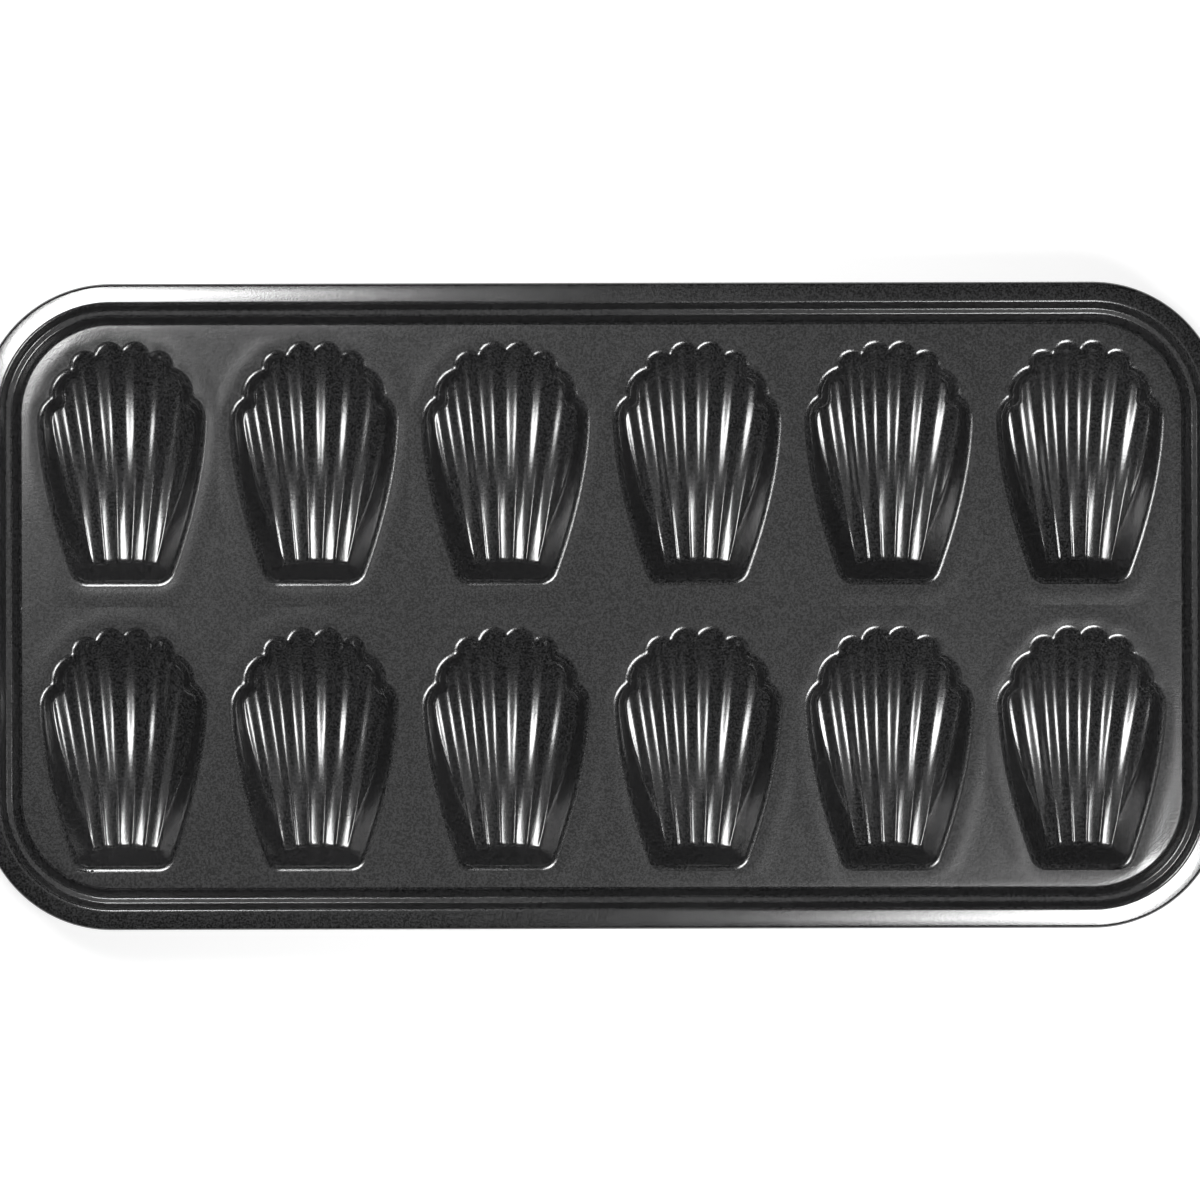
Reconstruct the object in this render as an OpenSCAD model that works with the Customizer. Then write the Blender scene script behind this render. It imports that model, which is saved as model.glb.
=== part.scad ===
// Madeleine pan with two rows of shell cups, pressed from one steel sheet. Millimetres, +Z up.
// The origin lies under the middle of the pan, on the surface that its cups stand on.
// +X runs along the pan, and +Y points from the straight hinge end of each cup to its scallops.

/* [Sheet] */
// Thickness of the steel sheet
sheet = 0.8; // [0.6:0.1:1]

/* [Cup outline] */
// Length of a cup from its hinge end to the middle notch
cup_length = 74.2; // [68:0.1:80]
// Width of a cup at its widest
cup_width = 52.9; // [48:0.1:58]
// Distance from the hinge end to the widest place
shoulder = 51.7; // [46:0.1:56]
// Straight stretch of the hinge end
hinge_straight = 21.6; // [18:0.1:26]
// Radius of the two corners of the hinge end
hinge_corner = 5.8; // [4:0.1:7]
// Angle through which those corners turn before the sides begin
hinge_turn = 70; // [66:1:74]
// Angles of the notches from the long axis, from the middle outwards
notch_angles = [0, 21.4, 43, 71];
// Distance of the notch curve inside the widest place
notch_inset = 2.5; // [1.5:0.1:4]
// Height of a scallop over its chord, as a share of the chord
scallop_rise = 0.31; // [0.2:0.01:0.36]

/* [Cup inside] */
// Depth of a cup below the deck, down to the flats on which its two middle flutes rest
cup_depth = 15.2; // [12:0.1:18]
// Height of the middle ridge above those flats
ridge_lift = 0.45; // [0.2:0.05:0.8]
// Distance from the hinge end to the deepest place
deepest = 30; // [26:0.1:34]
// Length of the flats
rest_length = 7; // [4:0.1:9]
// Depth of the floor where it leaves the hinge wall
hinge_wall_depth = 11.4; // [9:0.1:12]
// Run of the hinge wall, seen from above
hinge_wall_run = 7.7; // [6:0.1:10]
// Depth of the floor where it reaches the scallops
scallop_floor_depth = 0.4; // [0.2:0.1:2]
// Share of the floor's rise to the scallops that comes late
late_rise = 0.15; // [0:0.05:0.6]
// Share by which the floor is shallower at the sides, and how late that comes
side_rise_share = 0.55; // [0.3:0.05:0.7]
side_rise_power = 1.6; // [1.2:0.1:3]
// Depth of the flutes at the hinge end, in the middle and near the scallops
flute_depth_hinge = 0.6; // [0.4:0.05:1]
flute_depth_middle = 0.8; // [0.6:0.05:1.4]
flute_depth_far = 2; // [1.2:0.1:2.4]

/* [Cup walls] */
// Radius of the rounded lip between deck and cup
lip_radius = 2.4; // [1.5:0.1:3]
// Slope of the hinge wall
hinge_wall_angle = 61; // [55:1:66]
// Slope of the side walls
side_wall_angle = 70; // [60:1:74]
// Slope of the wall below a notch
notch_wall_angle = 46; // [40:1:60]
// Slope of the wall below a scallop
scallop_wall_angle = 70; // [60:1:74]
// Height over which a wall fades into the floor, at the hinge end and at the sides
hinge_fillet = 0.8; // [0.4:0.1:1.2]
side_fillet = 1.5; // [0.8:0.1:2.5]

/* [Layout] */
// Cups in each row
columns = 6; // [4:1:8]
// Deck left between two cups of a row, at their widest
column_gap = 6.7; // [5:0.1:12]
// Deck left between the two rows
row_gap = 12.7; // [8:0.1:20]
// Deck left at the two ends of the rows
end_margin = 4.55; // [4.5:0.05:15]
// Deck left in front of and behind the rows
side_margin = 4.7; // [4.5:0.05:15]
// Corner radius of the deck
deck_corner = 27.8; // [20:0.1:32]

/* [Rim] */
// Angle of the two walls from the deck
wall_angle = 66; // [55:1:75]
// Rise of the lower wall, from the deck to the ledge
lower_wall_height = 4.2; // [3.5:0.1:8]
// Rise of the upper wall, from the ledge to the rim band
upper_wall_height = 3.3; // [3:0.1:8]
// Flat width of the ledge between the walls
ledge_width = 1.0; // [0.4:0.1:3]
// Radius where a wall rises from the deck
foot_bend = 1.2; // [0.8:0.1:1.6]
// Radius where the upper wall rises from the ledge
ledge_bend = 0.8; // [0.5:0.1:1.4]
// Radius where a wall turns over outwards
top_bend = 1.2; // [1.1:0.1:1.6]
// Width of the domed rim band, up to the rolled edge
band_width = 4.6; // [3:0.1:8]
// Outside radius of the rolled edge
roll_radius = 1.35; // [1.25:0.05:2]
// Angle through which the edge is rolled
roll_turn = 265; // [200:5:270]
// Slack between the rolled edge and the wire inside it
wire_slack = 0.05; // [0.03:0.01:0.1]

/* [Hidden] */
row_names = ["front", "back"];
arc_fn = 96;
coating = "#46484b";
rim_coating = "#55585c";
wire_steel = "#9a9ea3";

function mix(a, b, t) = a + (b - a) * t;
function clamp(t) = min(1, max(0, t));
function smooth(t) = clamp(t) * clamp(t) * (3 - 2 * clamp(t));
function unit(p) = p / norm(p);

// Outline of a cup, with its hinge end on y = 0 and its long axis on x = 0.
// The fan position u counts the ridges: 0 on the axis, 3 at the last notch and 4 on the side.
last_ridge = len(notch_angles) - 1;
side_u = last_ridge + 1;
half_width = cup_width / 2;
side_foot = [
    hinge_straight / 2 + hinge_corner * sin(hinge_turn),
    hinge_corner * (1 - cos(hinge_turn))
];
side_run = half_width - side_foot[0];
side_rise = shoulder - side_foot[1];
// This power makes the side leave the hinge corner without a kink
side_power = side_rise / (side_run * tan(hinge_turn));

function notch(k) = [
    (half_width - notch_inset) * sin(notch_angles[k]),
    shoulder + (cup_length - shoulder) * cos(notch_angles[k])
];

// Point at share w along an arc from a to b that bulges to the left, with this half angle
function bulge(a, b, half_angle, w) =
    let (
        along = unit(b - a),
        out = [-along[1], along[0]],
        radius = norm(b - a) / (2 * sin(half_angle)),
        centre = (a + b) / 2 - out * radius * cos(half_angle),
        turn = (2 * w - 1) * half_angle
    )
    centre + radius * (along * sin(turn) + out * cos(turn));

function scallop_point(a) =
    let (k = min(floor(a), last_ridge - 1))
    bulge(notch(k), notch(k + 1), 2 * atan(2 * scallop_rise), a - k);

// The last scallop runs into the side without a kink
function shoulder_point(a) =
    let (from = notch(last_ridge), to = [half_width, shoulder])
    bulge(from, to, atan((to[0] - from[0]) / (from[1] - to[1])), a - last_ridge);

function far_point(a) = a <= last_ridge ? scallop_point(a) : shoulder_point(a);

function hinge_point(a) =
    let (turn = hinge_turn * max(0, a - last_ridge))
    [
        hinge_straight / 2 * min(1, a / last_ridge) + hinge_corner * sin(turn),
        hinge_corner * (1 - cos(turn))
    ];

function side_x(v) = half_width - side_run * pow(1 - v, side_power);

// Plan of the cup: u runs across the fan, and v from the hinge end (0) to the scallops (1)
function plan(u, v) =
    let (
        a = abs(u),
        p = mix(hinge_point(a), far_point(a), v),
        bow = side_x(v) - mix(side_foot[0], half_width, v)
    )
    [sign(u) * (p[0] + bow * pow(a / side_u, 4)), p[1]];

// Grid lines of the cup. The outermost ones lie this far inside the outline.
lip_line = 1.9;
flute_phases = [0, 0.36, 0.64];
fan_lines = concat(
    [-side_u + lip_line / 7],
    [for (k = [-side_u : -1], w = flute_phases) if (k > -side_u || w > 0) k + w],
    [for (k = [0 : last_ridge], w = flute_phases) k + w],
    [side_u - lip_line / 7]
);
hinge_wall_end = hinge_wall_run / cup_length;
rest_start = (deepest - rest_length / 2) / cup_length;
rest_end = (deepest + rest_length / 2) / cup_length;
far_rows = 7;
length_lines = concat(
    [lip_line / cup_length, hinge_wall_end, mix(hinge_wall_end, rest_start, 0.4)],
    [rest_start, rest_end],
    [for (k = [1 : far_rows - 1]) mix(rest_end, 1, k / far_rows)],
    [1 - lip_line / cup_length]
);
last_i = len(fan_lines) - 1;
last_j = len(length_lines) - 1;

function outline_u(i) = i == 0 ? -side_u : i == last_i ? side_u : fan_lines[i];
function outline_v(j) = j == 0 ? 0 : j == last_j ? 1 : length_lines[j];

// The border of the grid, clockwise from the left end of the scallops: [i, j] of each place
border = concat(
    [for (i = [0 : last_i]) [i, last_j]],
    [for (j = [last_j - 1 : -1 : 0]) [last_i, j]],
    [for (i = [last_i - 1 : -1 : 0]) [i, 0]],
    [for (j = [1 : last_j - 1]) [0, j]]
);
outline = [for (at = border) plan(outline_u(at[0]), outline_v(at[1]))];
cup_reach = max([for (p = outline) p[1]]);

function to_line(p, a, b) =
    let (ab = b - a, w = clamp((p - a) * ab / (ab * ab)))
    norm(p - a - w * ab);

function to_outline(p) =
    min([for (k = [0 : len(outline) - 1]) to_line(p, outline[k], outline[(k + 1) % len(outline)])]);

// Slope of the wall at a place of the cup
function wall_slope(u, v) =
    let (
        walls = mix(hinge_wall_angle, side_wall_angle, smooth((abs(u) - last_ridge + 0.3) / 0.8)),
        lobes = mix(notch_wall_angle, scallop_wall_angle, abs(sin(180 * u)))
    )
    mix(walls, lobes, smooth((v - 0.55) / 0.3) * smooth((last_ridge + 0.8 - abs(u)) / 0.7));

// Depth of the lip and the wall at distance d from the outline
function wall_depth(d, angle) =
    d < lip_radius * sin(angle)
        ? lip_radius - sqrt(lip_radius * lip_radius - d * d)
        : tan(angle) * (d - lip_radius * tan(angle / 2));

// Depth of the ridges on the long axis: a parabola to the hinge wall, and a parabola and a fourth
// power to the scallops
ridge_depth = cup_depth - ridge_lift;
function ridge_line(v) =
    let (
        y = v * cup_length,
        hinge_way = (deepest - y) / (deepest - hinge_wall_run),
        far_way = max(0, y - deepest) / (cup_length - deepest)
    )
    y < deepest
        ? ridge_depth - (ridge_depth - hinge_wall_depth) * pow(hinge_way, 2)
        : ridge_depth - (ridge_depth - scallop_floor_depth) * mix(pow(far_way, 2), pow(far_way, 4), late_rise);

// Depth that the flutes add. Near the hinge the ridges are broad, with narrow grooves between them,
// and near the scallops the channels are broad.
function flute_profile(u, v) =
    let (
        phase = abs(u) - min(floor(abs(u)), last_ridge),
        from_ridge = min(phase, 1 - phase),
        wave = (1 - cos(360 * phase)) / 2,
        crowned = 0.45 * pow(2 * from_ridge, 2) + 0.55 * pow(clamp((from_ridge - 0.3) / 0.2), 2),
        lean = mix(-1, 0.7, smooth((v - 0.12) / 0.7)),
        shape = lean > 0 ? mix(wave, sin(180 * phase), lean) : mix(wave, crowned, -lean),
        middle = mix(flute_depth_hinge, flute_depth_middle, smooth(v / 0.4)),
        far = (flute_depth_far - flute_depth_middle)
            * smooth((v - 0.72) / 0.2) * (1 - 0.8 * smooth((v - 0.92) / 0.08))
    )
    (middle + far) * shape * smooth((last_ridge + 0.25 - abs(u)) / 0.25);

function smooth_min(a, b, blend) =
    let (w = clamp(0.5 + 0.5 * (b - a) / blend))
    mix(b, a, w) - blend * w * (1 - w);

// The flats lie in the two middle flutes, between their grid lines
function on_rest(u, v) = abs(u) > 0 && abs(u) < 1 && (v == rest_start || v == rest_end);

// Depth of the cup below the deck: the shallower of wall and floor, with a fillet between them that
// ends at the deck, except on the flats
function depth(u, v) =
    let (
        p = plan(u, v),
        across = min(1, abs(p[0]) / side_x(v)),
        base = ridge_line(v) * (1 - side_rise_share * pow(across, side_rise_power)),
        away = to_outline(p),
        fillet = mix(hinge_fillet, side_fillet, smooth(abs(u) - 2)) * clamp(away / lip_radius)
    )
    on_rest(u, v)
        ? cup_depth
        : min(cup_depth, smooth_min(wall_depth(away, wall_slope(u, v)), base + flute_profile(u, v), fillet));

inside = [
    for (i = [0 : last_i]) [
        for (j = [0 : last_j])
            let (p = plan(fan_lines[i], length_lines[j]))
            [p[0], p[1], -depth(fan_lines[i], length_lines[j])]
    ]
];

// Unit vector square to the inside, pointing up, and straight up on the rests
function up_at(i, j) =
    inside[i][j][2] <= -cup_depth ? [0, 0, 1] :
    unit(cross(
        inside[min(i + 1, last_i)][j] - inside[max(i - 1, 0)][j],
        inside[i][min(j + 1, last_j)] - inside[i][max(j - 1, 0)]
    ));

underside = [
    for (i = [0 : last_i]) [
        for (j = [0 : last_j]) inside[i][j] - sheet * up_at(i, j)
    ]
];

function at(i, j) = i * (last_j + 1) + j;
grid_size = (last_i + 1) * (last_j + 1);
border_size = len(border);

function flat_list(rows) = [for (row = rows, p = row) p];
cup_points = concat(
    flat_list(inside),
    flat_list(underside),
    [for (p = outline) [p[0], p[1], 0]],
    [for (p = outline) [p[0], p[1], -sheet]]
);

// Two triangles for the quad a, b, c, d, given clockwise from outside
function quad(a, b, c, d) = [[a, b, c], [a, c, d]];

cup_faces = concat(
    [for (i = [0 : last_i - 1], j = [0 : last_j - 1], side = [0, 1])
        let (s = side * grid_size)
        each side == 0
            ? quad(at(i, j), at(i, j + 1), at(i + 1, j + 1), at(i + 1, j))
            : quad(s + at(i, j), s + at(i + 1, j), s + at(i + 1, j + 1), s + at(i, j + 1))],
    [for (k = [0 : border_size - 1])
        let (
            n = (k + 1) % border_size,
            in_k = at(border[k][0], border[k][1]),
            in_n = at(border[n][0], border[n][1]),
            top = 2 * grid_size,
            low = top + border_size
        )
        each concat(
            quad(in_k, top + k, top + n, in_n),
            quad(top + k, low + k, low + n, top + n),
            quad(low + k, grid_size + in_k, grid_size + in_n, low + n)
        )]
);

// Size and levels of the deck
column_pitch = cup_width + column_gap;
deck_length = columns * cup_width + (columns - 1) * column_gap + 2 * end_margin;
deck_width = 2 * cup_reach + row_gap + 2 * side_margin;
deck_top = cup_depth + sheet;

function cup_place(row, c) = [
    (c - (columns + 1) / 2) * column_pitch,
    row == 0 ? -row_gap / 2 - cup_reach : row_gap / 2,
    deck_top
];

// Section of the rim. A state is [point, heading] on the upper face, from the edge of the deck
// outwards, and a step is [radius, turn] for a bend or [0, length] for a straight.
function left_of(heading) = [-sin(heading), cos(heading)];

function step_point(state, step, t) =
    step[0] == 0
        ? state[0] + step[1] * t * [cos(state[1]), sin(state[1])]
        : state[0] + sign(step[1]) * step[0] * (left_of(state[1]) - left_of(state[1] + step[1] * t));

function step_end(state, step) =
    [step_point(state, step, 1), state[1] + (step[0] == 0 ? 0 : step[1])];

function walk_end(steps, state, i = 0) =
    i == len(steps) ? state : walk_end(steps, step_end(state, steps[i]), i + 1);

bend_angle = 15;
function walk(steps, state, i = 0) =
    i == len(steps) ? [state] :
    let (
        step = steps[i],
        pieces = step[0] == 0 ? 1 : max(2, ceil(abs(step[1]) / bend_angle)),
        turn = step[0] == 0 ? 0 : step[1]
    )
    concat(
        [for (k = [0 : pieces - 1])
            [step_point(state, step, k / pieces), state[1] + turn * k / pieces]],
        walk(steps, step_end(state, step), i + 1)
    );

function wall_line(height, bends) = (height - bends * (1 - cos(wall_angle))) / sin(wall_angle);

dome_start = -5;
dome_end = -14;
dome_radius = band_width / (sin(dome_start) - sin(dome_end));
lower_steps = [
    [foot_bend, wall_angle],
    [0, wall_line(lower_wall_height, foot_bend + top_bend)],
    [top_bend, -wall_angle]
];
upper_steps = [
    [0, ledge_width],
    [ledge_bend, wall_angle],
    [0, wall_line(upper_wall_height, ledge_bend + top_bend)],
    [top_bend, dome_start - wall_angle]
];
roll_steps = [
    [dome_radius, dome_end - dome_start],
    [roll_radius, -roll_turn]
];
deck_state = [[0, deck_top], 0];
ledge_state = walk_end(lower_steps, deck_state);
band_state = walk_end(upper_steps, ledge_state);
roll_state = step_end(band_state, roll_steps[0]);
roll_centre = roll_state[0] - roll_radius * left_of(roll_state[1]);
wire_radius = roll_radius - sheet - wire_slack;

module strip_section(steps, state) {
    places = walk(steps, state);
    upper = [for (s = places) s[0]];
    lower = [for (k = [len(places) - 1 : -1 : 0]) places[k][0] - sheet * left_of(places[k][1])];
    polygon(concat(upper, lower));
}

// Carries a section round the deck, with x of the section pointing outwards from its edge
module round_deck() {
    for (k = [0 : 3]) {
        along = k % 2 == 0 ? deck_length : deck_width;
        across = k % 2 == 0 ? deck_width : deck_length;
        rotate([0, 0, 90 * k]) {
            translate([deck_corner - along / 2, across / 2, 0])
                rotate([90, 0, 90])
                    linear_extrude(along - 2 * deck_corner)
                        children();
            translate([along / 2 - deck_corner, across / 2 - deck_corner, 0])
                rotate_extrude(angle = 90, $fn = arc_fn)
                    translate([deck_corner, 0])
                        children();
        }
    }
}

module deck_outline() {
    square([deck_length - 2 * deck_corner, deck_width], center = true);
    square([deck_length, deck_width - 2 * deck_corner], center = true);
    for (x = [-1, 1], y = [-1, 1])
        translate([x * (deck_length / 2 - deck_corner), y * (deck_width / 2 - deck_corner)])
            circle(r = deck_corner, $fn = arc_fn);
}

// Half of the flat sheet between the cups, on the side of its row
module deck(row) {
    color(coating)
        translate([0, 0, deck_top - sheet])
            linear_extrude(sheet)
                difference() {
                    intersection() {
                        deck_outline();
                        translate([-deck_length / 2, row == 0 ? -deck_width / 2 : 0])
                            square([deck_length, deck_width / 2]);
                    }
                    for (c = [1:columns])
                        translate([cup_place(row, c)[0], cup_place(row, c)[1]])
                            polygon(outline);
                }
}

// Shell-shaped cup with its fluted floor, hinge wall and rounded lip
module cup(row, c) {
    color(coating)
        translate(cup_place(row, c))
            polyhedron(points = cup_points, faces = cup_faces);
}

module lower_wall() {
    color(coating)
        round_deck()
            strip_section(lower_steps, deck_state);
}

module upper_wall() {
    color(coating)
        round_deck()
            strip_section(upper_steps, ledge_state);
}

// Domed band and the edge rolled round the wire
module rolled_rim() {
    color(rim_coating)
        round_deck()
            strip_section(roll_steps, band_state);
}

module rim_wire() {
    color(wire_steel)
        round_deck()
            translate(roll_centre)
                circle(r = wire_radius, $fn = 24);
}

deck(0);  // deck_front
deck(1);  // deck_back
lower_wall();
upper_wall();
rolled_rim();
rim_wire();
for (row = [0, 1], c = [1:columns])
    cup(row, c);
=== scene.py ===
import math
import bpy
import numpy as np
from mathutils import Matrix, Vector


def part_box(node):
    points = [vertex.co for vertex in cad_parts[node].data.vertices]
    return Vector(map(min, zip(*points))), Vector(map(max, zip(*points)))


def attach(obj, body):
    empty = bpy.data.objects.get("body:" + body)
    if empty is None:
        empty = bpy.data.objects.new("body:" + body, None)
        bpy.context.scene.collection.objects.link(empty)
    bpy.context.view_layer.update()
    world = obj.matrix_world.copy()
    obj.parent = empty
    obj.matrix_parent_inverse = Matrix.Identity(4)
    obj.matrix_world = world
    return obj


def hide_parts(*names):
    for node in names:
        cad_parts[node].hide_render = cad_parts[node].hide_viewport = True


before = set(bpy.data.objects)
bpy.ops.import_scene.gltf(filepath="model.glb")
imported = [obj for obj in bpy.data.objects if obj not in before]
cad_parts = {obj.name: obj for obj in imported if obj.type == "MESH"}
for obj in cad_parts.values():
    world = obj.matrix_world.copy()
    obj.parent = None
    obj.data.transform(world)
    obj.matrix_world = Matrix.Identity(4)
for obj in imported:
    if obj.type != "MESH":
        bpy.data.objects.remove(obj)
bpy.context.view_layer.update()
mm = 0.001  # the frame is in metres, and sizes here are in millimetres unless a note says otherwise
batch = 2000  # points that are compared with a whole outline at once
print("frame loaded")


# The photograph looks straight down through a long lens
photoView = {
    "photoSide": 1200,  # pixels
    "frameWidth": 371.7,  # real width that the photograph takes in at rim height
    "distance": 2200.0,  # lens to rim
    "panMiddle": (601.8, 605.9),  # pixel of the middle of the pan
    "turn": 0.14,  # degrees by which the pan is turned anticlockwise in it
    "sensor": 36.0,
}


def makeCamera(view, rimHeight):
    # Moved aside by as many pixels as the pan is out of the photograph's middle
    scale = view["frameWidth"] / view["photoSide"]
    half = view["photoSide"] / 2
    data = bpy.data.cameras.new("photoCamera")
    data.sensor_width = view["sensor"]
    data.lens = view["sensor"] * view["distance"] / view["frameWidth"]
    data.clip_end = 100
    camera = bpy.data.objects.new("photoCamera", data)
    camera.rotation_euler = (0, 0, -math.radians(view["turn"]))
    camera.location = (
        (half - view["panMiddle"][0]) * scale * mm,
        (view["panMiddle"][1] - half) * scale * mm,
        rimHeight + view["distance"] * mm,
    )
    bpy.context.collection.objects.link(camera)
    bpy.context.scene.camera = camera


makeCamera(photoView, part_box("rolled_rim")[1][2])
print("camera placed")


# Shape helpers

def mix(a, b, t):  # the value that lies a share t of the way from a to b
    return a + (b - a) * t


def ease(t):  # rises smoothly from 0 to 1 as t does
    t = np.clip(t, 0, 1)
    return t * t * (3 - 2 * t)


def fade(t, start, end):  # rises smoothly from 0 at the start to 1 at the end
    return ease((t - start) / (end - start))


def smoothMin(a, b, blend):
    # The smaller of two, with a parabola instead of the kink where they differ by less than the blend
    share = np.clip(0.5 + 0.5 * (b - a) / blend, 0, 1)
    return mix(b, a, share) - blend * share * (1 - share)


def leftOf(heading):
    # Unit step at right angles to a heading, to its left
    return np.stack([-np.sin(heading), np.cos(heading)], -1)


def boxOf(node):
    # Low and high corner of a solid
    low, high = (np.array(corner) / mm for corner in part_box(node))
    return low, high


def gridFaces(rows, columns, closeRows=False, closeColumns=False):
    # Quads between neighbouring rows and columns of points, on request with the last joined to the first
    row = np.arange(rows if closeRows else rows - 1)[:, None]
    column = np.arange(columns if closeColumns else columns - 1)[None, :]
    nextRow = (row + 1) % rows
    nextColumn = (column + 1) % columns
    corners = [row * columns + column, nextRow * columns + column,
               nextRow * columns + nextColumn, row * columns + nextColumn]
    return np.stack(np.broadcast_arrays(*corners), -1).reshape(-1, 4)


def buildPiece(name, points, faces):
    # Points in millimetres, faces as rows of four point numbers
    mesh = bpy.data.meshes.new(name)
    mesh.vertices.add(len(points))
    mesh.vertices.foreach_set("co", (np.asarray(points) * mm).astype(np.float32).ravel())
    mesh.loops.add(faces.size)
    mesh.loops.foreach_set("vertex_index", faces.astype(np.int32).ravel())
    mesh.polygons.add(len(faces))
    mesh.polygons.foreach_set("loop_start", np.arange(0, faces.size, 4, dtype=np.int32))
    mesh.update(calc_edges=True)
    mesh.validate()
    mesh.polygons.foreach_set("use_smooth", np.ones(len(mesh.polygons), dtype=bool))
    # Borders are sharp, so that a sheet's cut edge doesn't turn the shading of its face
    edges = np.empty(len(mesh.loops), dtype=np.int32)
    mesh.loops.foreach_get("edge_index", edges)
    onBorder = np.bincount(edges, minlength=len(mesh.edges)) == 1
    mesh.attributes.new("sharp_edge", "BOOLEAN", "EDGE").data.foreach_set("value", onBorder)
    piece = bpy.data.objects.new(name, mesh)
    bpy.context.collection.objects.link(piece)
    return piece


def thicken(piece, thickness):
    # The sheet hangs below the surface that was built
    solid = piece.modifiers.new("sheet", "SOLIDIFY")
    solid.thickness = thickness * mm
    solid.offset = -1
    solid.use_even_offset = False


# The cups, measured from the hinge end of a cup (y = 0) and its long axis (x = 0). Across the fan of
# flutes a place is counted in ridges, with 0 on the axis, 3 at the last ridge and 4 at the side. Along
# the cup it is a share, from 0 at the hinge end to 1 at the scallops.
cupForm = {
    "length": 74.2,  # hinge end to middle notch
    "shoulder": 51.7,  # hinge end to the widest place
    "hingeStraight": 21.6,
    "hingeCorner": 5.8,
    "hingeTurn": math.radians(70),
    "notchAngles": np.radians([0, 21.4, 43, 71]),
    "notchInset": 2.5,
    "scallopRises": (0.31, 0.31, 0.17),  # as shares of their chords, from the middle outwards
    "lipRadius": 2.4,
    "wallAngles": (math.radians(61), math.radians(76)),  # at the hinge end and at the shoulders
    "lobeAngles": (math.radians(58), math.radians(70)),  # under a notch and under a scallop
    "lobeSpan": (0.55, 0.85),  # where along the cup the lobes' angles take over from the wall's
    "lobeFade": (2.3, 2.8),  # where across the fan the wall's angles take over again
    "hingeFloor": 11.4,  # depth of the floor where it meets the hinge wall
    "hingeRun": 7.7,  # distance of that place from the hinge end
    "deepest": 30.0,  # distance of the lowest place from the hinge end
    "ridgeLift": 0.8,  # height of the middle ridge above the lowest place
    "lateRise": 0.15,  # share of the rise to the scallops that comes late, with the fourth power
    "edgeDepth": 0.4,  # least depth of the floor
    "edgeBlend": 1.0,
    "bowl": 0.47,  # share by which the floor is shallower under the sides
    "bowlShoulder": (0.6, 2.4),  # share of the half width from where it flattens, and how strongly
    "bowlSpan": (0.3, 0.6),  # where along the cup that turns from a share of the floor's own depth
    # into a share of the greatest depth
    "fillets": (0.8, 2.4),  # between wall and floor, in the middle and beyond the last ridges
    "filletSpan": (2, 3),  # where across the fan they change
    "fluteDepths": (0.6, 0.8, 1.04),  # at the hinge end, in the middle and near the scallops
    "fluteStops": (0, 0.4, 0.65),  # the three places along the cup
    "crown": 0.45,  # share of a flute's depth near the hinge that is in its ridges' crowns
    "groove": 0.3,  # share of a flute's width at which its groove starts there
    "waveSpan": (0.12, 0.52),  # where along the cup crowns and grooves turn into an even wave
    "sideFlute": 0.3,  # depth of the flute beyond the last ridge, as a share of the others
}
cupGridForm = {
    "perFlute": 18,
    "lengthwise": 84,
    "lipLines": 7,  # extra lines that crowd towards the lip
    "lipReach": 2.1,  # width of the strip that they fill
    "lipPower": 1.5,
    "sideFluteWidth": 7.0,  # turns that strip's width into a place across the fan
    "outlinePerFlute": 24,
    "outlinePerSide": 60,
}

cupLow, cupHigh = boxOf("cup_back_1")
deckUnder, deckUpper = boxOf("deck_back")
sheetThickness = (deckUpper - deckUnder)[2]
cupDepth = (cupHigh - cupLow)[2] - sheetThickness
halfWidth = (cupHigh - cupLow)[0] / 2
lastRidge = len(cupForm["notchAngles"]) - 1
fanEnd = lastRidge + 1
sideFoot = np.array([
    cupForm["hingeStraight"] / 2 + cupForm["hingeCorner"] * math.sin(cupForm["hingeTurn"]),
    cupForm["hingeCorner"] * (1 - math.cos(cupForm["hingeTurn"])),
])
sideRun = halfWidth - sideFoot[0]
# This power makes the side leave the hinge corner without a kink
sidePower = (cupForm["shoulder"] - sideFoot[1]) / (sideRun * math.tan(cupForm["hingeTurn"]))
# The notches lie on a quarter of an ellipse
notches = np.stack([
    (halfWidth - cupForm["notchInset"]) * np.sin(cupForm["notchAngles"]),
    mix(cupForm["shoulder"], cupForm["length"], np.cos(cupForm["notchAngles"])),
], -1)


def bulgeArc(start, end, halfAngle, share):
    # Point at a share of the way along an arc that bulges to the left of the line from start to end
    line = end - start
    span = np.linalg.norm(line, axis=-1, keepdims=True)
    along = line / span
    out = np.stack([-along[..., 1], along[..., 0]], -1)
    half = np.asarray(halfAngle)[..., None]
    radius = span / (2 * np.sin(half))
    centre = (start + end) / 2 - out * radius * np.cos(half)
    turn = ((2 * share - 1) * halfAngle)[..., None]
    return centre + radius * (along * np.sin(turn) + out * np.cos(turn))


def farEdge(fan):
    # Scallops are arcs between notches, and the last one runs into the side without a kink
    k = np.minimum(np.floor(fan), lastRidge - 1).astype(int)
    halfAngles = 2 * np.arctan(2 * np.array(cupForm["scallopRises"]))
    scallops = bulgeArc(notches[k], notches[k + 1], halfAngles[k], fan - k)
    shoulder = np.array([halfWidth, cupForm["shoulder"]])
    lean = shoulder - notches[-1]
    last = bulgeArc(np.broadcast_to(notches[-1], scallops.shape), shoulder,
                    math.atan2(lean[0], -lean[1]), fan - lastRidge)
    return np.where((fan <= lastRidge)[..., None], scallops, last)


def hingeEdge(fan):
    # A straight up to the last ridge, then an arc round the corner
    turn = cupForm["hingeTurn"] * np.maximum(0, fan - lastRidge)
    straight = cupForm["hingeStraight"] / 2 * np.minimum(1, fan / lastRidge)
    x = straight + cupForm["hingeCorner"] * np.sin(turn)
    return np.stack([x, cupForm["hingeCorner"] * (1 - np.cos(turn))], -1)


def sideX(v):
    # Half the cup's width: the full one less the side's run times a power of the way that is left
    return halfWidth - sideRun * (1 - v) ** sidePower


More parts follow.
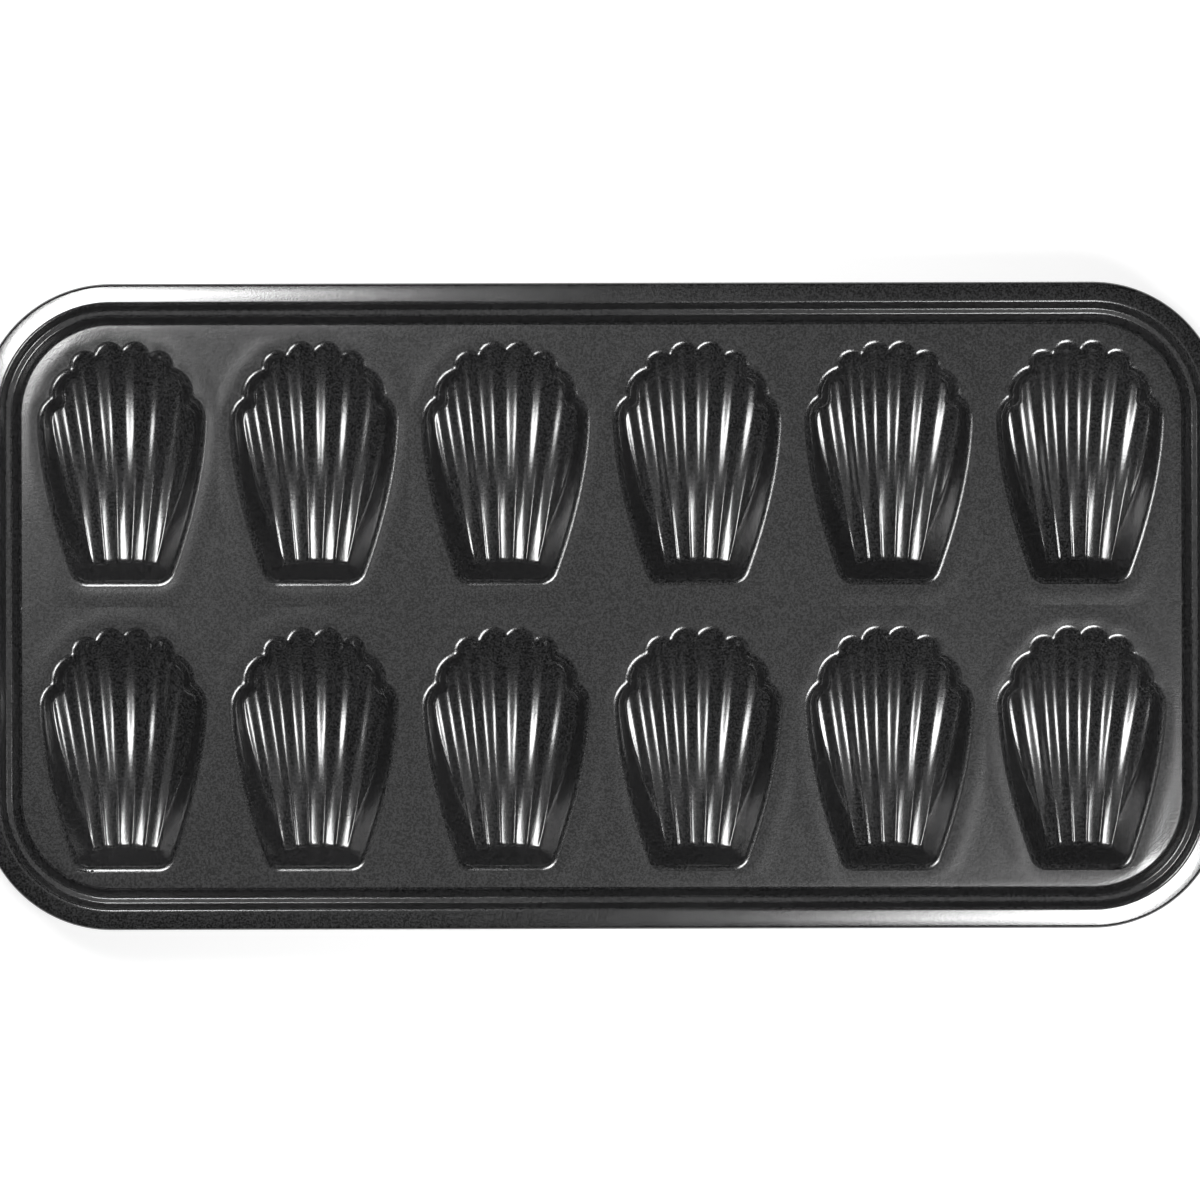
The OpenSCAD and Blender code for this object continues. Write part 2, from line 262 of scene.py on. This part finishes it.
def sideBow(v):
    # How far the side bows out beyond the straight line between its ends
    return sideX(v) - mix(sideFoot[0], halfWidth, v)


def cupPlan(u, v):
    # u is the place across the fan, negative on the left, and v the one along the cup. Lines from the
    # hinge edge to the scallops are straight, plus the side's bow by the fourth power of the place.
    fan = np.abs(u)
    point = mix(hingeEdge(fan), farEdge(fan), v[..., None])
    return np.sign(u) * (point[..., 0] + sideBow(v) * (fan / fanEnd) ** 4), point[..., 1]


def cupOutline(perFlute, perSide):
    # Closed loop, from the left end of the scallops clockwise
    across = np.linspace(-fanEnd, fanEnd, 2 * fanEnd * perFlute + 1)
    down = np.linspace(1, 0, perSide + 1)[1:]
    parts = [
        cupPlan(across, np.ones_like(across)),
        cupPlan(np.full_like(down, fanEnd), down),
        cupPlan(across[::-1][1:], np.zeros(len(across) - 1)),
        cupPlan(np.full(perSide - 1, -float(fanEnd)), down[::-1][1:]),
    ]
    return np.concatenate([np.stack(part, -1) for part in parts])


def distanceTo(loop, x, y):
    # Shortest distance from each point to the closed loop's straight pieces
    step = np.roll(loop, -1, axis=0) - loop
    size = np.maximum((step ** 2).sum(-1), 1e-12)
    points = np.stack([x.ravel(), y.ravel()], -1)
    best = np.empty(len(points))
    for first in range(0, len(points), batch):
        to = points[first:first + batch, None] - loop[None]
        share = np.clip((to * step[None]).sum(-1) / size, 0, 1)[..., None]
        best[first:first + batch] = np.sqrt(((to - share * step[None]) ** 2).sum(-1).min(-1))
    return best.reshape(x.shape)


def lipAndWall(fromEdge, u, v, y):
    # A quarter round from the deck, then a straight slope, by distance from the outline. The side
    # walls grow steeper away from the hinge end, and near the scallops each lobe has its own slope.
    radius = cupForm["lipRadius"]
    walls = mix(*cupForm["wallAngles"], ease(y / cupForm["shoulder"]))
    lobes = mix(*cupForm["lobeAngles"], np.abs(np.sin(np.pi * u)))
    nearLobes = fade(v, *cupForm["lobeSpan"]) * (1 - fade(np.abs(u), *cupForm["lobeFade"]))
    angle = mix(walls, lobes, nearLobes)
    circle = radius - np.sqrt(np.maximum(radius ** 2 - np.minimum(fromEdge, radius) ** 2, 0))
    slope = np.tan(angle) * (fromEdge - radius * np.tan(angle / 2))
    return np.where(fromEdge < radius * np.sin(angle), circle, slope)


def floorLine(y):
    # Depth of the ridges on the long axis: a parabola to the hinge wall, and a parabola and a fourth
    # power to the scallops
    deepest = cupForm["deepest"]
    base = cupDepth - cupForm["ridgeLift"]
    toHinge = (deepest - y) / (deepest - cupForm["hingeRun"])
    toFar = np.maximum(y - deepest, 0) / (cupForm["length"] - deepest)
    rise = mix(toFar ** 2, toFar ** 4, cupForm["lateRise"])
    return base - np.where(y < deepest, (base - cupForm["hingeFloor"]) * toHinge ** 2, base * rise)


def ridgeX(k, y):
    # How far ridge k lies from the cup's axis: on a straight line from hinge edge to notch, plus the
    # side's bow by the fourth power of the ridge's number
    share = np.minimum(y / notches[k][1], 1)
    straight = mix(cupForm["hingeStraight"] / 2 * k / lastRidge, notches[k][0], share)
    return straight + sideBow(share) * (k / fanEnd) ** 4


def flutes(u, v, x, y):
    # Depth added between ridges, by the share of the way across from one ridge to the next. Near the
    # hinge the ridges are broad, a little crowned, with narrow grooves between them, and near the
    # scallops ridges and channels are one even wave.
    lines = [ridgeX(k, y) for k in range(fanEnd)]
    phase = sum(np.clip((np.abs(x) - low) / (high - low), 0, 1) for low, high in zip(lines, lines[1:]))
    phase = np.where(phase < lastRidge, phase % 1, np.abs(u) - lastRidge)
    fromRidge = np.minimum(phase, 1 - phase)
    crown, groove = cupForm["crown"], cupForm["groove"]
    inGroove = np.clip((fromRidge - groove) / (0.5 - groove), 0, 1)
    crowned = crown * (2 * fromRidge) ** 2 + (1 - crown) * inGroove ** 2
    wave = (1 - np.cos(2 * np.pi * phase)) / 2
    shape = mix(crowned, wave, fade(v, *cupForm["waveSpan"]))
    hinge, middle, far = cupForm["fluteDepths"]
    first, second, third = cupForm["fluteStops"]
    deep = mix(hinge, middle, fade(v, first, second)) + (far - middle) * fade(v, second, third)
    return deep * shape * np.where(np.abs(u) < lastRidge, 1, cupForm["sideFlute"])


def cupSurface(u, v, loop):
    # Depth below the deck: the shallower of lip-and-wall and fluted floor, with a fillet between them.
    # The floor rises towards the sides with a parabola, less a second one beyond the bowl's shoulder.
    x, y = cupPlan(u, v)
    fromEdge = distanceTo(loop, x, y)
    across = np.abs(x) / sideX(v)
    shoulder, flattening = cupForm["bowlShoulder"]
    bowl = across ** 2 - flattening * np.maximum(across - shoulder, 0) ** 2
    line = floorLine(y)
    rise = cupForm["bowl"] * bowl * mix(line, cupDepth, fade(v, *cupForm["bowlSpan"]))
    floor = -smoothMin(rise - line, -cupForm["edgeDepth"], cupForm["edgeBlend"]) + flutes(u, v, x, y)
    fillet = mix(*cupForm["fillets"], fade(np.abs(u), *cupForm["filletSpan"]))
    fillet = fillet * np.clip(fromEdge / cupForm["lipRadius"], 0.01, 1)  # not zero, as it divides
    depth = smoothMin(lipAndWall(fromEdge, u, v, y), floor, fillet)
    return x, y, np.minimum(depth, cupDepth), fromEdge


# Round each cup the deck swells a little and falls away from it, as the press left it
deckSwell = {
    "height": 0.13,
    "crest": 1.9,  # distance of its highest line from the cup
    "width": 6.3,
    "inside": 1.5,  # reach of its slope past the lip into the cup
    "smoothing": 1.2,
    "wallFade": 2.6,  # distance from the deck's border over which it fades in
    "longSideFade": 9.0,  # the same from the two long sides, where it is weaker
}


def softDistance(loop, x, y):
    # A rounded distance to the loop: the logarithm of a sum of exponentials over its points, less the
    # same at the nearest point, so that it is zero on the loop and has no creases beyond the notches
    smoothing = deckSwell["smoothing"]
    weight = np.linalg.norm(np.roll(loop, -1, axis=0) - np.roll(loop, 1, axis=0), axis=-1) / 2

    def rounded(away):
        return -smoothing * np.log((weight * np.exp(-away / smoothing)).sum(-1))

    onLoop = rounded(np.linalg.norm(loop[:, None] - loop[None], axis=-1))
    points = np.stack([x.ravel(), y.ravel()], -1)
    result = np.empty(len(points))
    for first in range(0, len(points), batch):
        away = np.linalg.norm(points[first:first + batch, None] - loop[None], axis=-1)
        result[first:first + batch] = rounded(away) - onLoop[away.argmin(-1)]
    return np.maximum(result, 0).reshape(x.shape)


def swellAt(fromCup):
    # A quarter of a sine from the lip up to the crest, times half a cosine down to the flat deck
    crest = deckSwell["crest"]
    up = np.sin(np.pi / 2 * np.clip(fromCup / crest, 0, 1))
    past = np.clip((fromCup - crest) / (deckSwell["width"] - crest), 0, 1)
    return deckSwell["height"] * up * (1 + np.cos(np.pi * past)) / 2


def swellInside(fromEdge):
    # Carries the swell's slope over the lip: slope times distance, ended by a bell curve
    slope = deckSwell["height"] * np.pi / 2 / deckSwell["crest"]
    return slope * fromEdge * np.exp(-(fromEdge / deckSwell["inside"]) ** 2)


def cupGrid(form):
    # Places across and along the cup. Lines crowd towards the lip, and are even elsewhere.
    lip = np.linspace(0, 1, form["lipLines"], endpoint=False) ** form["lipPower"] * form["lipReach"]
    lipAlong = lip / cupForm["length"]
    reach = form["lipReach"] / cupForm["length"]
    even = np.linspace(reach, 1 - reach, form["lengthwise"])
    v = np.concatenate([lipAlong, even, 1 - lipAlong[::-1]])
    lipAcross = lip / form["sideFluteWidth"]
    reach = form["lipReach"] / form["sideFluteWidth"]
    even = np.arange(0, fanEnd - reach, 1 / form["perFlute"])
    half = np.concatenate([even, fanEnd - lipAcross[::-1]])
    u = np.concatenate([-half[::-1][:-1], half])
    return np.meshgrid(u, v, indexing="ij")


fineOutline = cupOutline(cupGridForm["outlinePerFlute"], cupGridForm["outlinePerSide"])
gridU, gridV = cupGrid(cupGridForm)
cupX, cupY, cupDeep, cupEdge = cupSurface(gridU, gridV, fineOutline)
cupHeights = np.maximum(-cupDeep - swellInside(cupEdge), -cupDepth)
cupFaces = gridFaces(*gridU.shape)


def dress(piece, node):
    # A piece of the sheet rides on the pan's one body and takes the place of its solid
    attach(piece, "root")
    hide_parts(node)
    return piece


def makeCup(node):
    # The same surface at each cup's place
    low, high = boxOf(node)
    points = np.stack([cupX + (low[0] + high[0]) / 2, cupY + low[1], cupHeights + high[2]], -1)
    words = node.split("_")
    piece = buildPiece(words[0] + words[1].title() + words[2], points.reshape(-1, 3), cupFaces)
    thicken(piece, sheetThickness)
    return dress(piece, node)


perRow = 6
cupNodes = [f"cup_{row}_{c + 1}" for row in ("front", "back") for c in range(perRow)]
cups = [makeCup(node) for node in cupNodes]
print("cups made", gridU.shape)


# The flat sheet between the cups, in one tile round each cup. A line runs from each point of a cup's
# outline to the tile's border, and its place there is a share of the tile's half width or of its side.
deckForm = {
    "corner": 27.8,  # radius of its corners
    # Places across the fan and the shares at which their lines end
    "topLines": [(0, 0), (1, 0.37), (2, 0.86), (7 / 3, 1)],  # on the border beyond the scallops
    "sideLines": [(7 / 3, 1.0), (3, 0.8), (4, 0.64)],  # on the side, from the scallops
    "lowLines": [(3.5, 0), (4, 0.06)],  # on the side, from the hinge edge
    "gutterDepth": 0.05,  # of the trough along the foot of the wall
    "gutterWidth": 1.3,
    # Rings of points round a cup, by shares of the way to the border
    "rings": [0, 0.02, 0.05, 0.09, 0.14, 0.21, 0.3, 0.41, 0.54, 0.69, 0.85, 1],
}
frontLow, frontHigh = boxOf("deck_front")
deckLow = np.minimum(deckUnder, frontLow)
deckHigh = np.maximum(deckUpper, frontHigh)
deckMiddle = (deckLow + deckHigh)[:2] / 2
deckHalf = (deckHigh - deckLow)[:2] / 2
cornerCentre = deckHalf - deckForm["corner"]


def tileOutline():
    # The cup's border clockwise, with the same points as the cup's grid, and where the line through
    # each point ends on a tile, from -1 to 1 both ways
    topU, topX = np.array(deckForm["topLines"]).T
    sideU, sideY = np.array(deckForm["sideLines"]).T
    lowU, lowY = np.array(deckForm["lowLines"]).T
    sideY, lowY = 2 * sideY - 1, 2 * lowY - 1
    farU = gridU[:, 0][gridU[:, 0] > 0]
    onTop = farU <= topU[-1] + 1e-6
    farX = np.where(onTop, np.interp(farU, topU, topX), 1)
    farY = np.where(onTop, 1, np.interp(farU, sideU, sideY))
    downV = gridV[0][::-1][1:]
    downY = mix(lowY[-1], sideY[-1], downV)
    nearU = farU[::-1][1:]
    nearX = np.minimum(nearU / lowU[0], 1)
    nearY = np.interp(nearU, lowU, lowY)
    stretches = [
        (cupPlan(farU, np.ones_like(farU)), (farX, farY)),
        (cupPlan(np.full_like(downV, fanEnd), downV), (np.ones_like(downV), downY)),
        (cupPlan(nearU, np.zeros_like(nearU)), (nearX, nearY)),
    ]
    right, rightEnds = (np.concatenate([np.stack(part, -1) for part in parts])
                        for parts in zip(*stretches))
    top = np.array([[0.0, cupPlan(np.zeros(1), np.ones(1))[1][0]]])
    outline = np.concatenate([top, right, [[0.0, 0.0]], right[::-1] * [-1, 1]])
    ends = np.concatenate([[[0, 1]], rightEnds, [[0, -1]], rightEnds[::-1] * [-1, 1]])
    return outline, ends


def roundCorners(points):
    # Points beyond a corner's centre both ways are drawn in to its radius, and those on the border
    # are put on the arc
    radius = deckForm["corner"]
    offset = points - deckMiddle
    past = np.abs(offset) - cornerCentre
    out = (past > 0).all(-1)[:, None]
    onEdge = (past > radius - 1e-6).any(-1)[:, None]
    size = np.maximum(np.linalg.norm(past, axis=-1), 1e-9)[:, None]
    share = np.where(onEdge, radius / size, np.minimum(1, radius / size))
    return np.where(out, np.sign(offset) * (cornerCentre + past * share), offset) + deckMiddle


def toWall(points):
    # Distance from the deck's rounded border, inwards
    past = np.abs(points - deckMiddle) - cornerCentre
    away = np.minimum(past.max(-1), 0) + np.linalg.norm(np.maximum(past, 0), axis=-1)
    return deckForm["corner"] - away


def makeDeckTile(middleX, hingeY, left, right, low, high):
    # Rings of points from the outline to the tile's border, close together near the lip. The deck's
    # height is its top, plus the swell where walls leave room for it, less a parabola for the trough.
    outline, ends = tileOutline()
    outline = outline + [middleX, hingeY]
    border = np.stack([
        mix(middleX, np.where(ends[:, 0] < 0, left, right), np.abs(ends[:, 0])),
        mix(low, high, (ends[:, 1] + 1) / 2),
    ], -1)
    points = mix(outline[None], roundCorners(border)[None], np.array(deckForm["rings"])[:, None, None])
    fromWall = toWall(points)
    fromLongSide = deckHalf[1] - np.abs(points[..., 1] - deckMiddle[1])
    room = ease(fromWall / deckSwell["wallFade"]) * ease(fromLongSide / deckSwell["longSideFade"])
    swell = swellAt(softDistance(outline, points[..., 0], points[..., 1])) * room
    trough = deckForm["gutterDepth"] * np.maximum(0, 1 - fromWall / deckForm["gutterWidth"]) ** 2
    return np.concatenate([points, (deckHigh[2] + swell - trough)[..., None]], -1)


def makeDeck(row):
    # Tiles meet halfway between neighbouring cups, and the two rows of them at y = 0
    boxes = [boxOf(f"cup_{row}_{c + 1}") for c in range(perRow)]
    between = [(a[1][0] + b[0][0]) / 2 for a, b in zip(boxes, boxes[1:])]
    edges = [deckLow[0], *between, deckHigh[0]]
    ends = (deckLow[1], 0) if row == "front" else (0, deckHigh[1])
    tiles = [makeDeckTile((low[0] + high[0]) / 2, low[1], edges[c], edges[c + 1], *ends)
             for c, (low, high) in enumerate(boxes)]
    rings, steps = tiles[0].shape[:2]
    points = np.concatenate([tile.reshape(-1, 3) for tile in tiles])
    faces = gridFaces(rings, steps, closeColumns=True)
    faces = np.concatenate([faces + k * rings * steps for k in range(perRow)])
    # Tiles share the points on their borders, to a thousandth of a millimetre
    places = np.round(points[:, :2] * 1000).astype(int)
    _, first, index = np.unique(places, axis=0, return_index=True, return_inverse=True)
    piece = buildPiece("deck" + row.title(), points[first], index.ravel()[faces])
    thicken(piece, sheetThickness)
    return dress(piece, "deck_" + row)


decks = [makeDeck(row) for row in ("front", "back")]
print("deck made")


# The raised rim: two walls with a ledge between them, a domed band and an edge rolled round a wire.
# Slopes and turns are in degrees, positive upwards.
rimForm = {
    "wallAngle": 62.0,
    "lowerHeight": 4.2,
    "upperHeight": 3.3,
    "ledge": 0.9,
    "ledgeSlope": 6.0,
    "footBend": 1.0,
    "footSlope": -4.0,  # of the deck's trough where the wall starts
    "ledgeBend": 0.8,
    "topBend": 1.2,
    "bandWidth": 4.6,
    "bandStart": -5.0,  # slope of the band where it starts
    "bandEnd": -14.0,
    "rollRadius": 1.35,
    "rollTurn": 265.0,
    "bendStep": 5.0,  # degrees between the points of a bend
    "cornerSteps": 32,
    "straightSteps": 12,
    "sharpAngle": 40.0,  # edges bent by more than this are shaded sharp
}


def bendRise(radius, slope):
    # Height between a bend's ends, when one end has the wall's angle and the other has this slope
    return radius * (math.cos(math.radians(slope)) - math.cos(math.radians(rimForm["wallAngle"])))


def wallLine(height):
    # Length of a straight piece of wall that climbs this height
    return height / math.sin(math.radians(rimForm["wallAngle"]))


def walkSection(start, steps):
    # Points and headings along bends and straights that follow each other. A step is (radius, turn in
    # degrees) for a bend, whose centre lies its radius to one side, or (0, length) for a straight.
    points, headings = [np.array([start[0]], float)], [np.array([start[1]])]
    for radius, size in steps:
        point, heading = points[-1][-1], headings[-1][-1]
        if radius == 0:
            points.append(point + size * np.array([[math.cos(heading), math.sin(heading)]]))
            headings.append(np.array([heading]))
            continue
        count = max(2, math.ceil(abs(size) / rimForm["bendStep"]))
        turned = heading + math.radians(size) * np.arange(1, count + 1) / count
        points.append(point + math.copysign(radius, size) * (leftOf(heading) - leftOf(turned)))
        headings.append(turned)
    return np.concatenate(points), np.concatenate(headings)


def rimLoop(cornerSteps, straightSteps):
    # Places round the edge of the deck, anticlockwise: the point and the way out of it
    radius = deckForm["corner"]
    centres = deckMiddle + cornerCentre * np.array([(1, -1), (1, 1), (-1, 1), (-1, -1)])
    share = np.linspace(0, 1, straightSteps + 1)[1:-1, None]
    places, outs = [], []
    for k, centre in enumerate(centres):
        angle = np.radians(np.linspace(90 * (k - 1), 90 * k, cornerSteps + 1))
        out = np.stack([np.cos(angle), np.sin(angle)], -1)
        arc = centre + radius * out
        straight = mix(arc[-1], centres[(k + 1) % 4] + radius * out[-1], share)
        places += [arc, straight]
        outs += [out, np.broadcast_to(out[-1], straight.shape)]
    return np.concatenate(places), np.concatenate(outs)


def makeStrip(name, node, start, steps):
    # The section and its underside, one sheet thickness lower, carried round the deck
    upper, headings = walkSection(start, steps)
    lower = upper - sheetThickness * leftOf(headings)
    section = np.concatenate([upper, lower[::-1]])
    place, out = rimLoop(rimForm["cornerSteps"], rimForm["straightSteps"])
    flat = place[:, None] + out[:, None] * section[None, :, :1]
    height = np.broadcast_to(section[None, :, 1:], flat.shape[:2] + (1,))
    points = np.concatenate([flat, height], -1)
    faces = gridFaces(len(place), len(section), closeRows=True, closeColumns=True)
    piece = buildPiece(name, points.reshape(-1, 3), faces)
    piece.data.set_sharp_from_angle(angle=math.radians(rimForm["sharpAngle"]))
    return dress(piece, node), (upper[-1], headings[-1])


def makeRim(form):
    # Three strips, each from where the last one ended. A wall's straight climbs what its bends and its
    # ledge leave of its height, and the band is an arc whose width and end slopes give its radius.
    wall, foot, ledge = form["wallAngle"], form["footSlope"], form["ledgeSlope"]
    climb = (form["lowerHeight"] + deckForm["gutterDepth"]
             - bendRise(form["footBend"], foot) - bendRise(form["topBend"], ledge))
    lowerSteps = [(form["footBend"], wall - foot), (0, wallLine(climb)),
                  (form["topBend"], ledge - wall)]
    climb = (form["upperHeight"] - form["ledge"] * math.sin(math.radians(ledge))
             - bendRise(form["ledgeBend"], ledge) - bendRise(form["topBend"], 0))
    upperSteps = [(0, form["ledge"]), (form["ledgeBend"], wall - ledge), (0, wallLine(climb)),
                  (form["topBend"], form["bandStart"] - wall)]
    startSlope, endSlope = math.radians(form["bandStart"]), math.radians(form["bandEnd"])
    domeRadius = form["bandWidth"] / (math.sin(startSlope) - math.sin(endSlope))
    rollSteps = [(domeRadius, form["bandEnd"] - form["bandStart"]),
                 (form["rollRadius"], -form["rollTurn"])]
    start = ((0, deckHigh[2] - deckForm["gutterDepth"]), math.radians(foot))
    lower, start = makeStrip("lowerWall", "lower_wall", start, lowerSteps)
    upper, start = makeStrip("upperWall", "upper_wall", start, upperSteps)
    roll, _ = makeStrip("rolledRim", "rolled_rim", start, rollSteps)
    return lower, upper, roll


lowerWall, upperWall, rolledRim = makeRim(rimForm)
print("rim made")


# Material helpers. A Mix node's colours are its inputs 6 and 7, and its mixed colour is output 2.

def makeGroup(name, inputs, outputs):
    # Inputs are (name, kind, value), outputs (name, kind)
    group = bpy.data.node_groups.new(name, "ShaderNodeTree")
    for socketName, kind, value in inputs:
        group.interface.new_socket(socketName, in_out="INPUT", socket_type=kind).default_value = value
    for socketName, kind in outputs:
        group.interface.new_socket(socketName, in_out="OUTPUT", socket_type=kind)
    return group


def addNode(tree, kind, values=(), **properties):
    # Values are a dictionary for input sockets, by the socket's name or number
    node = tree.nodes.new(kind)
    for key, value in properties.items():
        setattr(node, key, value)
    for key, value in dict(values).items():
        node.inputs[key].default_value = value
    return node


def mathNode(tree, operation, *parts):
    # Parts are numbers or output sockets
    node = addNode(tree, "ShaderNodeMath", operation=operation)
    for k, part in enumerate(parts):
        if isinstance(part, (int, float)):
            node.inputs[k].default_value = part
        else:
            tree.links.new(part, node.inputs[k])
    return node.outputs[0]


def mixedColor(tree, share, low, high):
    # The colour that lies a share of the way from low to high
    node = addNode(tree, "ShaderNodeMix", {6: (*low, 1), 7: (*high, 1)}, data_type="RGBA")
    tree.links.new(share, node.inputs[0])
    return node.outputs[2]


def unevenRoughness(tree, mask, finish):
    # Roughness goes up and down by half the swing, with a mask that is about 0.5
    swing = finish["roughnessSwing"]
    return mathNode(tree, "MULTIPLY_ADD", mask, swing, finish["roughness"] - swing / 2)


# Fine speckle of a sprayed coating and the slow mottle of the steel under it, both about 0.5
grainForm = {
    "grains": 3000.0,  # per metre, where a material gives no number of its own
    "mottle": 60.0,
    "speckle": {"Detail": 1.0, "Roughness": 0.6},
    "cloud": {"Detail": 3.0, "Roughness": 0.55},
}


def makeGrainGroup(form):
    # Two noises on the object's own coordinates
    kind = "NodeSocketFloat"
    group = makeGroup("coatGrain", [("Grains", kind, form["grains"]), ("Mottle", kind, form["mottle"])],
                      [("Speckle", kind), ("Cloud", kind)])
    start = addNode(group, "NodeGroupInput")
    end = addNode(group, "NodeGroupOutput")
    place = addNode(group, "ShaderNodeTexCoord")
    for name, scale, target in (("speckle", "Grains", "Speckle"), ("cloud", "Mottle", "Cloud")):
        noise = addNode(group, "ShaderNodeTexNoise", form[name])
        group.links.new(place.outputs["Object"], noise.inputs["Vector"])
        group.links.new(start.outputs[scale], noise.inputs["Scale"])
        group.links.new(noise.outputs[0], end.inputs[target])
    return group


grainGroup = makeGrainGroup(grainForm)
coatFinish = {
    "color": (0.0015, 0.0015, 0.0016),
    "speckleColor": (0.04, 0.04, 0.041),
    "speckleRange": (0.39, 0.61),  # of the noise that becomes the speckle's full contrast
    "roughness": 0.23,
    "roughnessSwing": 0.06,
    "bump": 0.35,
    "bumpHeight": 0.00006,  # metres
    "grains": 1700.0,
    "ior": 1.9,
    "specular": 0.62,
}
rimFinish = dict(coatFinish, roughness=0.22, bump=0.25)


def makeCoat(name, finish):
    # Dark satin coating: the speckle lightens the colour and raises grains, the mottle varies the gloss
    material = bpy.data.materials.new(name)
    material.use_nodes = True
    tree = material.node_tree
    tree.nodes.clear()
    output = addNode(tree, "ShaderNodeOutputMaterial")
    shader = addNode(tree, "ShaderNodeBsdfPrincipled",
                     {"IOR": finish["ior"], "Specular IOR Level": finish["specular"]})
    grain = addNode(tree, "ShaderNodeGroup", node_tree=grainGroup)
    grain.inputs["Grains"].default_value = finish["grains"]
    low, high = finish["speckleRange"]
    contrast = addNode(tree, "ShaderNodeMapRange", {"From Min": low, "From Max": high})
    bump = addNode(tree, "ShaderNodeBump",
                   {"Strength": finish["bump"], "Distance": finish["bumpHeight"]})
    tree.links.new(grain.outputs["Speckle"], contrast.inputs["Value"])
    color = mixedColor(tree, contrast.outputs[0], finish["color"], finish["speckleColor"])
    tree.links.new(color, shader.inputs["Base Color"])
    tree.links.new(unevenRoughness(tree, grain.outputs["Cloud"], finish), shader.inputs["Roughness"])
    tree.links.new(grain.outputs["Speckle"], bump.inputs["Height"])
    tree.links.new(bump.outputs[0], shader.inputs["Normal"])
    tree.links.new(shader.outputs[0], output.inputs["Surface"])
    return material


wireFinish = {
    "color": (0.45, 0.46, 0.48),
    "darkest": 0.7,  # share of that colour in the darkest patches
    "roughness": 0.3,
    "roughnessSwing": 0.2,
    "grains": 900.0,
    "metallic": 1.0,
}


def makeWireSteel(finish):
    # Drawn steel: colour and roughness vary in fine patches
    material = bpy.data.materials.new("wireSteel")
    material.use_nodes = True
    tree = material.node_tree
    shader = next(node for node in tree.nodes if node.type == "BSDF_PRINCIPLED")
    shader.inputs["Metallic"].default_value = finish["metallic"]
    grain = addNode(tree, "ShaderNodeGroup", node_tree=grainGroup)
    grain.inputs["Grains"].default_value = finish["grains"]
    speckle = grain.outputs["Speckle"]
    dark = [finish["darkest"] * c for c in finish["color"]]
    tree.links.new(mixedColor(tree, speckle, dark, finish["color"]), shader.inputs["Base Color"])
    tree.links.new(unevenRoughness(tree, speckle, finish), shader.inputs["Roughness"])
    return material


coat = makeCoat("panCoat", coatFinish)
rimCoat = makeCoat("rimCoat", rimFinish)
wireSteel = makeWireSteel(wireFinish)
for piece in [*cups, *decks, lowerWall, upperWall]:
    piece.data.materials.append(coat)
rolledRim.data.materials.append(rimCoat)
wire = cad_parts["rim_wire"]
for place in wire.material_slots:
    place.material = wireSteel
print("materials made")


# The stage, in metres. The light panels face down, and their turn is in degrees.
stageForm = {
    "floorSize": 20.0,
    "floorColor": 0.8,
    "floorGlow": 0.6,  # lifts the floor to white where it is seen, and leaves the shadow
    "ambient": 0.03,
    "panels": [
        {"place": (-0.296, 0.296, 0.62), "width": 0.2, "length": 0.33, "turn": 135, "watts": 3.6},
        {"place": (0.296, -0.296, 0.62), "width": 0.2, "length": 0.33, "turn": -45, "watts": 3.6},
        {"place": (0.0, 0.0, 2.6), "width": 1.6, "length": 1.6, "turn": 0, "watts": 1.4},
    ],
}


def makeFloor(form):
    # A square sheet of paint that also glows for the camera and for reflections
    half = form["floorSize"] / 2 / mm
    points = np.array([[-half, -half, 0], [half, -half, 0], [half, half, 0], [-half, half, 0]])
    floor = buildPiece("floor", points, np.array([[0, 1, 2, 3]]))
    material = bpy.data.materials.new("floorPaint")
    material.use_nodes = True
    tree = material.node_tree
    tree.nodes.clear()
    output = addNode(tree, "ShaderNodeOutputMaterial")
    paint = addNode(tree, "ShaderNodeBsdfDiffuse", {"Color": (form["floorColor"],) * 3 + (1,)})
    path = addNode(tree, "ShaderNodeLightPath")
    seen = mathNode(tree, "MAXIMUM", path.outputs["Is Camera Ray"], path.outputs["Is Glossy Ray"])
    glow = addNode(tree, "ShaderNodeEmission")
    both = addNode(tree, "ShaderNodeAddShader")
    tree.links.new(mathNode(tree, "MULTIPLY", seen, form["floorGlow"]), glow.inputs["Strength"])
    tree.links.new(paint.outputs[0], both.inputs[0])
    tree.links.new(glow.outputs[0], both.inputs[1])
    tree.links.new(both.outputs[0], output.inputs["Surface"])
    floor.data.materials.append(material)


def makePanel(name, panel):
    # A rectangle of light that the camera doesn't see
    data = bpy.data.lights.new(name, "AREA")
    data.shape = "RECTANGLE"
    data.size = panel["width"]
    data.size_y = panel["length"]
    data.energy = panel["watts"]
    light = bpy.data.objects.new(name, data)
    light.location = panel["place"]
    light.rotation_euler = (0, 0, math.radians(panel["turn"]))
    light.visible_camera = False
    bpy.context.collection.objects.link(light)


def makeWorld(strength):
    # White all round, very dim
    world = bpy.data.worlds.new("studio")
    world.use_nodes = True
    back = next(node for node in world.node_tree.nodes if node.type == "BACKGROUND")
    back.inputs["Color"].default_value = (1, 1, 1, 1)
    back.inputs["Strength"].default_value = strength
    bpy.context.scene.world = world


makeFloor(stageForm)
for k, panel in enumerate(stageForm["panels"]):
    makePanel(f"softbox{k + 1}", panel)
makeWorld(stageForm["ambient"])
bpy.context.scene.view_settings.view_transform = "Standard"
print("stage made")
